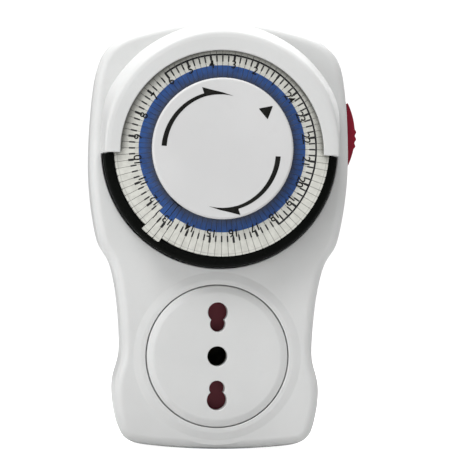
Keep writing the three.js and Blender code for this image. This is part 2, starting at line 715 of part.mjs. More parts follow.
place("chassis_plate", chassisPlate(), steel);
CHASSIS_SCREWS.forEach((at, i) => place(`chassis_screw_${i + 1}`, plateScrew(7), steel, at));
place("motor_body", motorBody(), steel);
MOTOR_SCREWS.forEach((at, i) => place(`motor_screw_${i + 1}`, plateScrew(11.4), steel, at));
place("motor_pinion", motorPinion(), brass);
place("reduction_gear", reductionGear(), nylon);
place("reduction_gear_pin", pivotPin(REDUCTION, { r: 2, z: 16.7 }, { r: 2, z: 24.4 }), steel);

place("override_lever", overrideLever(), red);
place("override_pivot_pin", pivotPin(OVERRIDE, { r: 1.6, z: 19.3 }, { r: 3, z: 19.5 }), steel);
place("override_detent_spring", detentSpring(), steel);
place("trip_lever", tripLever(), nylon);
place("trip_lever_pin", pivotPin(TRIP, { r: 2, z: 20 }, { r: 2.2, z: 22.7 }), steel);
place("trip_lever_spring", tripSpring(), steel);
place("switch_body", switchBody(), phenolic);
place("switch_plunger", box([18, 24.3], [-32, -30], TRIP_Z), red);
place("switch_terminal_in", switchTerminal(10.5), brass);
place("switch_terminal_out", switchTerminal(18.5), brass);

place("socket_face", socketFace(), casingWhite);
place("socket_shutter", socketShutter(), maroon);
place("shutter_spring", shutterSpring(), steel);
place("contact_carrier", contactCarrier(), phenolic);
place("line_contact", contactClip(1, 10.2), brass);
place("neutral_contact", contactClip(-1, 9.2), brass);
place("earth_contact", earthContact(), brass);
place("line_pin", plugPin(LINE, true, 8), nickel);
place("neutral_pin", plugPin(NEUTRAL, true, 8.8), nickel);
place("earth_pin", plugPin(SOCKET, false, 8.8), nickel);
place("line_pin_sleeve", pinSleeve(LINE), blackPlastic);
place("neutral_pin_sleeve", pinSleeve(NEUTRAL), blackPlastic);
place("pin_clamp", pinClamp(), phenolic);

const wires = {
  line_wire_in: [brownWire, [[0, -43.2, 3.5], [5, -40.5, 5], [10.5, -40.1, 11], [10.5, -40, 18.6]]],
  line_wire_out: [
    brownWire,
    [[18.5, -40, 18.6], [18.6, -39.9, 12], [22, -43, 12], [20.5, -48, 17.2], [4, -48, 17.2]],
  ],
  motor_wire_line: [brownWire, [[4, -28.2, 7], [4, -34, 6], [2.4, -42.2, 6]]],
  motor_wire_neutral: [
    blueWire,
    [[-6, -28.3, 7], [-9, -42, 5], [-9.5, -60, 4.5], [-8.6, -71, 4], [-4.8, -74, 3.3]],
  ],
};
Object.entries(wires).forEach(([name, [finish, line]]) => place(name, wire(line), finish));

export default timer;
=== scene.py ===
import json
import math

import bmesh
import bpy
from mathutils import Matrix, Vector

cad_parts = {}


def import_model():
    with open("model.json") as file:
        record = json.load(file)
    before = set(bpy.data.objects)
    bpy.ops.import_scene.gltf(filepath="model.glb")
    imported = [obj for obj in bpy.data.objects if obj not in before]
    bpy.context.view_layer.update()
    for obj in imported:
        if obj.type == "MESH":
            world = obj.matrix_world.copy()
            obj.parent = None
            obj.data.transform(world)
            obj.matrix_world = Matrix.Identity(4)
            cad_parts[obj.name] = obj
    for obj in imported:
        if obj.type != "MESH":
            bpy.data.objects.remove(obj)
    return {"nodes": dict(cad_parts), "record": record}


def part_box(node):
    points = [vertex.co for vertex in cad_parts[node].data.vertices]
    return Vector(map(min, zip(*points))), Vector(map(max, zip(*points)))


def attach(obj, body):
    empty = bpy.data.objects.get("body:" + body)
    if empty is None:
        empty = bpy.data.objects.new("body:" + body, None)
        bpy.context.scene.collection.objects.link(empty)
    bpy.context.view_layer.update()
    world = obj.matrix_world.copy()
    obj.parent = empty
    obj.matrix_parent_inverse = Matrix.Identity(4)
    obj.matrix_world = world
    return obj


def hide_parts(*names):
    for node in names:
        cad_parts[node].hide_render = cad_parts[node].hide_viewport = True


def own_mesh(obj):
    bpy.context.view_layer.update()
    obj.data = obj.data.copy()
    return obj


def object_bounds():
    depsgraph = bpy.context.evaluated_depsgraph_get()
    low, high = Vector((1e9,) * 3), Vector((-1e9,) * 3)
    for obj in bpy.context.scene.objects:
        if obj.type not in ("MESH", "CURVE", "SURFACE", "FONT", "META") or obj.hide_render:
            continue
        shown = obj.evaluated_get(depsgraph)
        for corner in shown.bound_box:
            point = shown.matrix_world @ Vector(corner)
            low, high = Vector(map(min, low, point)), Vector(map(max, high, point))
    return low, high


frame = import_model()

# The looks of the plug-in segment timer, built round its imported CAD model.
#
# New pieces are drawn in millimetres as seen from the front: x to the right, y up, z out of the wall.
# TO_FRAME then stands them up in the frame, in metres, with the dial's axis along Y and z 0 on the wall.

MM = 0.001
TO_FRAME = Matrix.Rotation(math.radians(90), 4, "X") @ Matrix.Scale(MM, 4)
cad_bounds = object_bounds()


def span(node):
    """A CAD node's box in front-view millimetres: its x, y and z ranges."""
    low, high = (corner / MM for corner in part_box(node))
    return (low.x, high.x), (low.z, high.z), (-high.y, -low.y)


def radius_of(node):
    across = span(node)[0]
    return (across[1] - across[0]) / 2


# ---------------------------------------------------------------- driving dimensions

WALL = 2
GAP = 0.3
FAR = 60  # how far a cutter reaches when it has to leave the part
SPLIT_Z = span("rear_casing")[2][1]
FACE_Z = 27
HOOD_Z = span("front_casing")[2][1]
HOOD_END_Y = -1.5
HOOD_OPENING_R = 29.8
HOOD_OPENING_Y = -1  # the rim is set a little lower than the dial
HOOD_EDGE_R = 33.1
HOOD_OUTER_R = 37.2
HOOD_ROOM_R = 33.3
TRAY_R = radius_of("dial_surround")

SEGMENTS = 96
PITCH = 360 / SEGMENTS
FIRST_SEGMENT = 36  # direction of segment 0, in degrees
MIDNIGHT = FIRST_SEGMENT + PITCH / 2  # direction of the 24 h mark, which stands at a slit
SWITCHED_ON = (51, 52, 53)
SEGMENT_IN_R = 19.5
SEGMENT_OUT_R = 31.5
SEGMENT_TRAVEL = 1.45
SEGMENT_TOP_Z = span("segment_ring")[2][1]
SEGMENT_BOTTOM_Z = SEGMENT_TOP_Z - 6
SLIT = 0.05  # between neighbouring segments
FOOT_R = (23.9, 25.4)
FOOT_Z = span("segment_ring")[2][0]
FOOT_TOP_Z = SEGMENT_BOTTOM_Z + 1

HOUR = 15  # degrees round the dial
BLUE_R = 24.45
QUARTER_TICK = (0.22, 25.5, 27.3)  # half its width, and the radii of its ends
HOUR_TICK = (0.33, 26.1, 27.7)
NIGHT_HOURS = (18, 6)  # the night's arc runs from the first hour to the second
NIGHT_R = 27.6
NIGHT_END = (25.9, 27.8)  # radii of the ticks at the ends of the night's arc
NIGHT_LINE = 0.26  # half the width of the arc and of its end ticks
STEP_LINE = (30.8, 0.12)  # faint line near the segments' outer ends: radius and half its width
NUMERAL_R = 24.9
NUMERAL_HEIGHT = 2.3

CAP_R = radius_of("centre_cap")
CAP_Z = (37, span("centre_cap")[2][1])

SOCKET_Y = sum(span("socket_face")[1]) / 2
SOCKET_R = 20.9
SOCKET_HOLE_R = 21.2
SOCKET_FACE_Z = span("socket_face")[2][1]
SOCKET_RIM_Z = FACE_Z + 0.45
WIDE_PIN = (13, 2.95)  # distance from the earth hole, and radius
NARROW_PIN = (9.5, 2.3)
EARTH_HOLE_R = 2.95
PIN_R = 2.5

LEVER_PIVOT = (19.4, 5.45)
LEVER_R = 21.9
LEVER_INNER_R = 15.6
LEVER_MIDDLE = -5.6  # direction of the grip's middle at rest, in degrees
LEVER_HALF_SWEEP = 32
LEVER_SWING = 12  # degrees upwards from rest
RIBS_MIDDLE = -3  # direction of the middle one of the lever's three ribs, in degrees
RIB_PITCH = 5.6
RIB_HEIGHT = 0.4
LEVER_Z = span("override_lever")[2]
LEVER_GRIP_Z = (14.5, 19.4)

SCREWS = [(27.5, 26.5), (-27.5, 26.5), (21.5, -80), (-21.5, -80)]
SCREW_HOLE_R = 1.7
POSTS = [(-26, -20), (27, -24), (-22, 20)]

ROUND = 144  # facets of the dial and the hood
FINE = 64  # facets of pins and holes
SHARP_FROM = 32  # degrees between two faces from which their edge is shaded as sharp


# ---------------------------------------------------------------- lines

def polar(radius, degrees, centre=(0, 0)):
    angle = math.radians(degrees)
    return Vector((centre[0] + radius * math.cos(angle), centre[1] + radius * math.sin(angle)))


def arc(radius, start, end, steps, centre=(0, 0)):
    return [polar(radius, start + (end - start) * k / steps, centre) for k in range(steps + 1)]


def taper(start, end, steps):
    """An arc whose radius changes evenly. Its ends are (radius, degrees) pairs."""
    return [polar(*Vector(start).lerp(Vector(end), k / steps)) for k in range(steps + 1)]


def bezier(*controls, steps=12):
    """Points along a Bezier curve of any degree, without its last point."""
    points = []
    for k in range(steps):
        level = [Vector(c) for c in controls]
        while len(level) > 1:
            level = [a.lerp(b, k / steps) for a, b in zip(level, level[1:])]
        points.append(level[0])
    return points


def rounded(corners, closed=True, steps=4):
    """Turns each (a, b, radius) corner of a line into an arc of its radius."""
    points = []
    for i, (a, b, radius) in enumerate(corners):
        corner = Vector((a, b))
        is_end = not closed and i in (0, len(corners) - 1)
        if radius == 0 or is_end:
            points.append(corner)
            continue
        before = (Vector(corners[i - 1][:2]) - corner).normalized()
        after = (Vector(corners[(i + 1) % len(corners)][:2]) - corner).normalized()
        half = before.angle(after) / 2
        centre = corner + (before + after).normalized() * radius / math.sin(half)
        start = corner + before * radius / math.tan(half) - centre
        end = corner + after * radius / math.tan(half) - centre
        sweep = math.atan2(start.cross(end), start.dot(end))
        for k in range(steps + 1):
            points.append(centre + Matrix.Rotation(sweep * k / steps, 2) @ start)
    return points


def inset(outline, distance):
    """Moves a counter-clockwise outline inwards."""
    moved = []
    for i, point in enumerate(outline):
        before = (point - outline[i - 1]).normalized()
        after = (outline[(i + 1) % len(outline)] - point).normalized()
        inwards = Vector((-before.y - after.y, before.x + after.x)).normalized()
        stretch = max(math.cos(before.angle(after) / 2), 0.5)
        moved.append(point + inwards * distance / stretch)
    return moved


def resample(loop, count):
    """Spreads count points evenly along a closed line."""
    ends = loop[1:] + loop[:1]
    lengths = [(b - a).length for a, b in zip(loop, ends)]
    step = sum(lengths) / count
    points = []
    travelled = 0
    for a, b, length in zip(loop, ends, lengths):
        while len(points) * step < travelled + length - 1e-6 and len(points) < count:
            points.append(a.lerp(b, (len(points) * step - travelled) / length))
        travelled += length
    return points


def soften(loop, passes):
    for _ in range(passes):
        loop = [
            (loop[i - 1] + 2 * loop[i] + loop[(i + 1) % len(loop)]) / 4
            for i in range(len(loop))
        ]
    return loop


def casing_outline():
    """Outline of the housing from the front: arched head, neck beside the socket, wider foot."""
    right = [
        *bezier((0, 38.8), (12.5, 38.8), (24.8, 35)),
        *bezier((24.8, 35), (31.2, 33.2), (35, 30), (36.4, 24.5)),
        *bezier((36.4, 24.5), (37.5, 20.5), (38.6, 8), (38.6, -3)),
        *bezier((38.6, -3), (38.6, -12), (37.1, -22), (35.2, -28.6)),
        *bezier((35.2, -28.6), (32.2, -32.6)),
        *bezier((32.2, -32.6), (30.3, -37), (28.4, -48), (28.4, -60.5)),
        *bezier((28.4, -60.5), (28.4, -64), (30.6, -66.5), (30.6, -71)),
        *bezier((30.6, -71), (30.6, -76), (29.2, -81)),
        *bezier((29.2, -81), (28.7, -85.2), (26.4, -86.9), (22.2, -87.3)),
        *bezier((22.2, -87.3), (11, -88.6), (0, -88.6)),
        Vector((0, -88.6)),
    ]
    left = [Vector((-p.x, p.y)) for p in right[1:-1]]
    clockwise = right + left[::-1]
    return soften(resample(clockwise[::-1], 360), 5)


# ---------------------------------------------------------------- solids

def new_piece(name, bm):
    bmesh.ops.recalc_face_normals(bm, faces=bm.faces)
    mesh = bpy.data.meshes.new(name)
    bm.to_mesh(mesh)
    bm.free()
    piece = bpy.data.objects.new(name, mesh)
    bpy.context.scene.collection.objects.link(piece)
    return piece


def add_skin(bm, loops, ring=False):
    """Skins loops of equally many 3-D points, and closes the ends, or joins them into a ring."""
    rows = [[bm.verts.new(p) for p in loop] for loop in loops]
    pairs = list(zip(rows, rows[1:]))
    if ring:
        pairs.append((rows[-1], rows[0]))
    else:
        bm.faces.new(rows[0][::-1])
        bm.faces.new(rows[-1])
    for low, high in pairs:
        for i in range(len(low)):
            j = (i + 1) % len(low)
            bm.faces.new((low[i], low[j], high[j], high[i]))


def skin(name, loops, ring=False):
    bm = bmesh.new()
    add_skin(bm, loops, ring)
    return new_piece(name, bm)


def level(outline, z):
    return [(p.x, p.y, z) for p in outline]


def slab_loops(outline, bottom, top, bottom_edge=0, top_edge=0, steps=4):
    """Loops of a slab whose bottom and top edges are rounded to the given radii."""
    def edge(radius, k):
        angle = math.radians(90 * k / steps)
        return radius * (1 - math.cos(angle)), radius * (1 - math.sin(angle))

    loops = []
    if bottom_edge:
        for k in range(steps, 0, -1):
            inwards, down = edge(bottom_edge, k)
            loops.append(level(inset(outline, inwards), bottom + down))
    loops.append(level(outline, bottom + bottom_edge))
    loops.append(level(outline, top - top_edge))
    if top_edge:
        for k in range(1, steps + 1):
            inwards, down = edge(top_edge, k)
            loops.append(level(inset(outline, inwards), top - down))
    return loops


def slab(name, outline, bottom, top, **edges):
    return skin(name, slab_loops(outline, bottom, top, **edges))


def turned(name, profile, centre=(0, 0), ring=False, facets=ROUND):
    """Turns a profile of (radius, z) points round an axis through centre."""
    loops = []
    for radius, z in profile:
        circle = arc(radius, 0, 360, facets, centre)[:-1]
        loops.append(level(circle, z))
    return skin(name, loops, ring)


def rod(radius, bottom, top, centre=(0, 0), facets=FINE):
    return turned("tool", [(radius, bottom), (radius, top)], centre, facets=facets)


def block(x, y, z):
    corners = [Vector((x[0], y[0])), Vector((x[1], y[0])), Vector((x[1], y[1])), Vector((x[0], y[1]))]
    return slab("tool", corners, *z)


def check_closed(piece):
    """Stops the script at an open mesh, which a boolean step would leave as it is without a word."""
    bm = bmesh.new()
    bm.from_mesh(piece.data)
    open_edges = sum(not edge.is_manifold for edge in bm.edges)
    bm.free()
    if open_edges:
        raise ValueError(f"{piece.name} has {open_edges} open edges")


def combine(operation, piece, tools):
    """Joins tools to a piece, cuts them out of it, or keeps what they share."""
    for solid in (piece, *tools):
        check_closed(solid)
    for tool in tools:
        step = piece.modifiers.new(operation, "BOOLEAN")
        step.operation = operation
        step.solver = "MANIFOLD"
        step.object = tool
    graph = bpy.context.evaluated_depsgraph_get()
    result = bpy.data.meshes.new_from_object(piece.evaluated_get(graph))
    piece.modifiers.clear()
    piece.data = result
    for tool in tools:
        bpy.data.objects.remove(tool)
    return piece


def join(piece, *tools):
    return combine("UNION", piece, tools)


def cut(piece, *tools):
    return combine("DIFFERENCE", piece, tools)


def finish(piece, body, material, replaces=()):
    """Stands a finished piece up in the frame, shades it and lets it ride on its body."""
    piece.data.transform(TO_FRAME)
    piece.data.shade_smooth()
    piece.data.set_sharp_from_angle(angle=math.radians(SHARP_FROM))
    even = piece.modifiers.new("even_shading", "WEIGHTED_NORMAL")
    even.keep_sharp = True
    piece.data.materials.clear()
    piece.data.materials.append(material)
    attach(piece, body)
    if replaces:
        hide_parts(*replaces)
    return piece


# ---------------------------------------------------------------- shaders

class Value:
    """A number inside a shader. Sums and products of Values make math nodes."""

    def __init__(self, shader, socket):
        self.shader = shader
        self.socket = socket

    def __add__(self, other):
        return self.shader.math("ADD", self, other)

    def __sub__(self, other):
        return self.shader.math("SUBTRACT", self, other)

    def __mul__(self, other):
        return self.shader.math("MULTIPLY", self, other)

    def __truediv__(self, other):
        return self.shader.math("DIVIDE", self, other)

    def __lt__(self, other):
        return self.shader.math("LESS_THAN", self, other)

    def __gt__(self, other):
        return self.shader.math("GREATER_THAN", self, other)

    def __abs__(self):
        return self.shader.math("ABSOLUTE", self)


class Shader:
    """A material with a Principled surface whose inputs are written as formulas."""

    def __init__(self, name):
        self.material = bpy.data.materials.new(name)
        self.material.use_nodes = True
        self.tree = self.material.node_tree
        self.tree.nodes.clear()
        self.surface = self.node("BsdfPrincipled")
        output = self.node("OutputMaterial")
        self.tree.links.new(self.surface.outputs[0], output.inputs[0])
        self.position = self.node("TexCoord").outputs["Object"]

    def node(self, kind, **settings):
        node = self.tree.nodes.new("ShaderNode" + kind)
        for name, value in settings.items():
            setattr(node, name, value)
        return node

    def plug(self, socket, value):
        if isinstance(value, Value):
            value = value.socket
        if isinstance(value, bpy.types.NodeSocket):
            self.tree.links.new(value, socket)
        else:
            socket.default_value = value

    def set(self, **inputs):
        for name, value in inputs.items():
            self.plug(self.surface.inputs[name.replace("_", " ").title()], value)

    def math(self, operation, *values):
        node = self.node("Math", operation=operation)
        for socket, value in zip(node.inputs, values):
            self.plug(socket, value)
        return Value(self, node.outputs[0])

    def noise(self, size, detail=2, stretch=(1, 1, 1)):
        """Noise from 0 to 1 whose features are size metres wide."""
        mapping = self.node("Mapping")
        self.plug(mapping.inputs["Vector"], self.position)
        mapping.inputs["Scale"].default_value = [1 / (size * s) for s in stretch]
        node = self.node("TexNoise")
        self.plug(node.inputs["Vector"], mapping.outputs[0])
        node.inputs["Scale"].default_value = 1
        node.inputs["Detail"].default_value = detail
        return Value(self, node.outputs[0])

    def blend(self, amount, first, second):
        """Mixes two colours."""
        node = self.node("Mix", data_type="RGBA")
        colours = [socket for socket in node.inputs if socket.type == "RGBA"]
        self.plug(node.inputs[0], amount)
        self.plug(colours[0], first)
        self.plug(colours[1], second)
        return next(socket for socket in node.outputs if socket.type == "RGBA")

    def step(self, value, low, high, start=0, end=1):
        """Rises smoothly from start to end while value goes from low to high."""
        node = self.node("MapRange", interpolation_type="SMOOTHSTEP")
        for socket, number in zip(node.inputs, (value, low, high, start, end)):
            self.plug(socket, number)
        return Value(self, node.outputs[0])

    def edges(self, radius):
        """1 along outer and inner edges within radius metres, 0 on open faces."""
        bevel = self.node("Bevel", samples=4)
        bevel.inputs["Radius"].default_value = radius
        dot = self.node("VectorMath", operation="DOT_PRODUCT")
        self.plug(dot.inputs[0], bevel.outputs[0])
        self.plug(dot.inputs[1], self.node("NewGeometry").outputs["Normal"])
        return self.step(Value(self, dot.outputs["Value"]), 0.998, 0.9)

    def shelter(self, distance, least=0.6, most=0.2):
        """Rises from 0 to 1 while the open sky within distance metres falls from least to most."""
        node = self.node("AmbientOcclusion", samples=6)
        node.inputs["Distance"].default_value = distance
        return self.step(Value(self, node.outputs["AO"]), least, most)

    def relief(self, height, depth):
        """Bumps the surface by height, from 0 to 1, times depth metres."""
        node = self.node("Bump")
        node.inputs["Strength"].default_value = 1
        node.inputs["Distance"].default_value = depth
        self.plug(node.inputs["Height"], height)
        self.plug(self.surface.inputs["Normal"], node.outputs[0])


def rgb(red, green, blue):
    return (red, green, blue, 1)


def shade(colour, factor):
    return rgb(*(channel * factor for channel in colour[:3]))


def moulded(name, colour, roughness, grain=0.00035, depth=0.000006, glow=0.0, coat=0.0, shine=0.5):
    """Moulded plastic: fine grain, slightly uneven tone and gloss, edges polished by handling."""
    s = Shader(name)
    clouds = s.noise(0.03, 3)
    patches = s.noise(0.004, 4)
    specks = s.noise(grain, 2)
    worn = s.edges(0.00025) * s.step(patches, 0.35, 0.65)
    tone = s.blend(s.step(clouds, 0.3, 0.7), shade(colour, 0.96), shade(colour, 1.02))
    tone = s.blend(s.step(patches, 0.55, 0.8, 0, 0.25), tone, shade(colour, 0.9))
    tone = s.blend(worn * 0.35, tone, rgb(*(c * 0.85 + 0.1 for c in colour[:3])))
    gloss = s.step(patches, 0.3, 0.7, roughness - 0.05, roughness + 0.06) - worn * 0.1
    s.set(base_color=tone, roughness=gloss)
    s.surface.inputs["Specular IOR Level"].default_value = shine
    if glow:
        s.set(subsurface_weight=glow)
        s.surface.inputs["Subsurface Radius"].default_value = (0.0012, 0.001, 0.0009)
        s.surface.inputs["Subsurface Scale"].default_value = 1
    if coat:
        s.set(coat_weight=coat, coat_roughness=0.08)
    s.relief(specks + patches * 0.5, depth)
    return s.material


def metal(name, colour, roughness, stretch=(1, 1, 1), tarnish=None):
    """Bare or plated metal: brushed along one direction, scuffed, dulled in patches, and painted almost
    black in its recesses as shade.
    """
    s = Shader(name)
    brushed = s.noise(0.0002, 3, stretch)
    patches = s.noise(0.003, 5)
    scuffs = s.noise(0.0006, 6)
    dull = s.step(patches, 0.45, 0.75)
    tone = s.blend(dull * 0.6, colour, tarnish or shade(colour, 0.7))
    tone = s.blend(s.edges(0.0002) * 0.4, tone, shade(colour, 1.25))
    # painted shade: in recesses, where little light reaches, the colour turns almost black and the surface
    # rougher
    recess_shade = s.shelter(0.01)
    tone = s.blend(recess_shade, tone, rgb(0.02, 0.019, 0.018))
    gloss = s.step(scuffs, 0.3, 0.7, roughness - 0.06, roughness + 0.1) + dull * 0.12 + recess_shade * 0.3
    s.set(base_color=tone, roughness=gloss, metallic=1.0)
    s.relief(brushed * 0.6 + scuffs, 0.000008)
    return s.material


def printed_dial():
    """Cream segments with a blue band, the quarter-hour scale and the night's arc.

    The tone darkens wherever neighbouring surfaces shut out the light.
    """
    s = Shader("printed_dial")
    axes = s.node("SeparateXYZ")
    s.plug(axes.inputs[0], s.position)
    across, outwards, up = (Value(s, socket) for socket in axes.outputs)
    radius = s.math("SQRT", across * across + up * up) / MM
    angle = s.math("DEGREES", s.math("ARCTAN2", up, across))
    hour = s.math("FLOORED_MODULO", angle - MIDNIGHT, 360) / HOUR
    arc_length = radius * math.radians(HOUR)  # millimetres round the dial for each hour

    def between(value, low, high):
        return (value > low) * (value < high)

    def to_nearest(count):
        """Distance in millimetres to the nearest mark of count marks per hour."""
        phase = hour * count
        return abs(phase - s.math("ROUND", phase)) * arc_length / count

    def ticks(per_hour, half_width, start, end):
        return (to_nearest(per_hour) < half_width) * between(radius, start, end)

    dusk, dawn = NIGHT_HOURS
    night = s.math("MAXIMUM", hour > dusk, hour < dawn)
    night_arc = night * (abs(radius - NIGHT_R) < NIGHT_LINE)
    ends = s.math("MINIMUM", abs(hour - dawn), abs(hour - dusk)) * arc_length
    night_ends = (ends < NIGHT_LINE) * between(radius, *NIGHT_END)
    marks = s.math("MAXIMUM", ticks(4, *QUARTER_TICK), ticks(1, *HOUR_TICK))
    marks = s.math("MAXIMUM", marks, s.math("MAXIMUM", night_arc, night_ends))
    on_front = outwards < -SEGMENT_TOP_Z * MM * 0.99
    marks = marks * s.step(s.noise(0.0003, 4), 0.2, 0.35, 0.8, 1) * on_front

    wear = s.noise(0.002, 4)
    cream = s.blend(s.step(wear, 0.35, 0.7), rgb(0.58, 0.58, 0.535), rgb(0.67, 0.67, 0.62))
    blue = s.blend(s.step(wear, 0.3, 0.7), rgb(0.017, 0.06, 0.215), rgb(0.025, 0.085, 0.285))
    tone = s.blend(radius < BLUE_R, cream, blue)
    step_r, half_width = STEP_LINE
    tone = s.blend((abs(radius - step_r) < half_width) * 0.3, tone, rgb(0.2, 0.2, 0.2))
    # painted shade: the colour darkens towards dark grey next to the hood's rim, the cap and other parts
    # that shut out the light
    tone = s.blend(s.shelter(0.005, 0.95, 0.55) * 0.85, tone, rgb(0.06, 0.06, 0.05))
    tone = s.blend(marks, tone, rgb(0.012, 0.012, 0.014))
    tone = s.blend(s.edges(0.0001) * 0.15, tone, rgb(0.8, 0.8, 0.78))
    s.set(base_color=tone, roughness=s.step(wear, 0.3, 0.7, 0.38, 0.5))
    s.surface.inputs["Specular IOR Level"].default_value = 0.25
    s.relief(s.noise(0.0004, 2), 0.000005)
    return s.material


def ink():
    s = Shader("black_ink")
    patches = s.noise(0.0008, 4)
    s.set(base_color=s.blend(s.step(patches, 0.4, 0.7), rgb(0.006, 0.006, 0.005), rgb(0.012, 0.012, 0.01)))
    s.surface.inputs["Specular IOR Level"].default_value = 0.15
    s.set(roughness=s.step(patches, 0.3, 0.7, 0.4, 0.6))
    s.relief(patches, 0.000004)
    return s.material


WHITE = moulded("casing_white", rgb(0.66, 0.665, 0.66), 0.36, glow=0.08)
CAP_WHITE = moulded("cap_white", rgb(0.65, 0.65, 0.65), 0.42, grain=0.00025, glow=0.08)
BLACK = moulded("black_plastic", rgb(0.0035, 0.0042, 0.0035), 0.3, shine=0.07)
DIAL = printed_dial()
BLUE = moulded("dial_blue", rgb(0.019, 0.062, 0.215), 0.45)
RED = moulded("lever_red", rgb(0.25, 0.005, 0.022), 0.32, coat=0.12, shine=0.25)
MAROON = moulded("shutter_maroon", rgb(0.18, 0.037, 0.05), 0.35, shine=0.15)
NYLON = moulded("nylon_natural", rgb(0.75, 0.71, 0.6), 0.42, glow=0.2)
PHENOLIC = moulded("phenolic_dark", rgb(0.03, 0.022, 0.018), 0.5, depth=0.00002)
BRASS = metal("brass", rgb(0.78, 0.57, 0.26), 0.26, tarnish=rgb(0.36, 0.22, 0.09))
NICKEL = metal("nickel_plate", rgb(0.7, 0.68, 0.64), 0.18, stretch=(6, 0.5, 6))
STEEL = metal("steel", rgb(0.56, 0.57, 0.58), 0.34, stretch=(8, 1, 1))
BROWN_WIRE = moulded("wire_brown", rgb(0.1, 0.035, 0.015), 0.42)
BLUE_WIRE = moulded("wire_blue", rgb(0.02, 0.09, 0.36), 0.42)
INK = ink()

BY_SLOT = {
    "casing_white": WHITE,
    "cap_white": CAP_WHITE,
    "black_plastic": BLACK,
    "dial_print": DIAL,
    "dial_blue": BLUE,
    "lever_red": RED,
    "shutter_maroon": MAROON,
    "nylon_natural": NYLON,
    "phenolic_dark": PHENOLIC,
    "brass": BRASS,
    "nickel_plate": NICKEL,
    "steel": STEEL,
    "wire_brown": BROWN_WIRE,
    "wire_blue": BLUE_WIRE,
}


# ---------------------------------------------------------------- casing

def hood_section(foot_r, rim_r=HOOD_OPENING_R):
    """Cross-section of the hood from its rim to the foot of its flank, as (radius, z) points."""
    reach = (foot_r - TRAY_R) / (HOOD_OUTER_R - TRAY_R)  # 1 over the dial, near 0 at the hood's ends
    return rounded([
        (HOOD_ROOM_R, FACE_Z - WALL, 0),
        (foot_r, FACE_Z - WALL, 0),
        (foot_r, FACE_Z + 3.5 + 2 * reach, 1 + 2 * reach),
        (34.3 + 0.3 * reach, HOOD_Z - 0.2, 0.6 + 1.6 * reach),
        (HOOD_EDGE_R - 0.5, HOOD_Z, 1),
        (rim_r, HOOD_Z, 0.3),
        (rim_r, SEGMENT_TOP_Z + GAP, 0.2),
        (HOOD_ROOM_R, SEGMENT_TOP_Z + GAP, 0.3),
    ])


def hood():
    """The raised rim over the upper half of the dial. Its flank draws in towards both ends."""
    edge = 0.4
    steps = 4
    draw_in = 28  # degrees from each end

    def end(side, k):
        """The section at one end of the hood, drawn in k steps of its rounding."""
        angle = math.radians(90 * k / steps)
        shrunk = inset(hood_section(TRAY_R + GAP), edge * (1 - math.cos(angle)))
        y = HOOD_END_Y + edge * (1 - math.sin(angle))
        return [(side * math.sqrt(p.x * p.x - y * y), y, p.y) for p in shrunk]

    loops = [end(1, k) for k in range(steps, -1, -1)]
    sweep = ROUND // 2
    for k in range(1, sweep):
        degrees = 180 * k / sweep
        spread = min(degrees, 180 - degrees, draw_in) / draw_in
        spread = spread * spread * (3 - 2 * spread)
        angle = math.radians(degrees)
        foot_r = TRAY_R + GAP + (HOOD_OUTER_R - TRAY_R - GAP) * spread
        aside = HOOD_OPENING_Y * math.cos(angle)
        rim_r = HOOD_OPENING_Y * math.sin(angle) + math.sqrt(HOOD_OPENING_R ** 2 - aside ** 2)
        section = hood_section(foot_r, rim_r)
        loops.append([(p.x * math.cos(angle), p.x * math.sin(angle), p.y) for p in section])
    loops += [end(-1, k) for k in range(steps + 1)]
    return skin("hood", loops)


def socket_rim():
    """Low rim round the socket, running out softly into the face."""
    inner, crest, foot, outer = 20, 22.6, 24.8, 26.2  # radii
    bottom = FACE_Z - 1.5
    return turned("rim", rounded([
        (inner, bottom, 0),
        (outer, bottom, 0),
        (outer, FACE_Z - 0.05, 0),
        (foot, FACE_Z + 0.02, 1.5),
        (crest, SOCKET_RIM_Z, 2.2),
        (inner, SOCKET_RIM_Z, 0),
    ]), (0, SOCKET_Y), ring=True)


def flared(radius, bottom, top, lip, centre=(0, 0)):
    """A round cutter that widens at its top, to leave a rounded lip."""
    profile = [(radius, bottom)]
    for k in range(7):
        angle = math.radians(90 * k / 6)
        profile.append((radius + lip * (1 - math.cos(angle)), top - lip * (1 - math.sin(angle))))
    profile.append((radius + lip, top + 20))
    return turned("tool", profile, centre)


def front_casing():
    inside = FACE_Z - WALL
    outline = casing_outline()
    shell = slab(
        "front_casing_shell", outline, SPLIT_Z + GAP, FACE_Z, bottom_edge=0.25, top_edge=3, steps=8
    )
    join(shell, socket_rim())
    lower_half = block((-FAR, FAR), (-FAR, HOOD_END_Y), (0, FAR))
    tray_opening = combine("INTERSECT", flared(TRAY_R + GAP, inside - 1, FACE_Z, 0.35), [lower_half])
    cut(
        shell,
        slab("tool", inset(outline, WALL), 0, inside),
        rod(HOOD_ROOM_R, inside - 1, FAR, facets=ROUND),
        tray_opening,
        flared(SOCKET_HOLE_R, inside - 1, SOCKET_RIM_Z, 0.3, (0, SOCKET_Y)),
    )
    bosses = [rod(3.2, SPLIT_Z + 0.6, inside + 0.5, at) for at in SCREWS]
    join(shell, hood(), *bosses)
    highest = LEVER_MIDDLE + LEVER_SWING + LEVER_HALF_SWEEP  # direction of the lever's upper end
    half_slot = LEVER_R * math.sin(math.radians(highest)) + 0.5
    slot_y = (LEVER_PIVOT[1] - half_slot, LEVER_PIVOT[1] + half_slot)
    screw_holes = [rod(SCREW_HOLE_R, SPLIT_Z, 22, at) for at in SCREWS]
    cut(shell, block((30, FAR), slot_y, (0, LEVER_GRIP_Z[1] + 0.4)), *screw_holes)
    return finish(shell, "casing", WHITE, ["front_casing"])


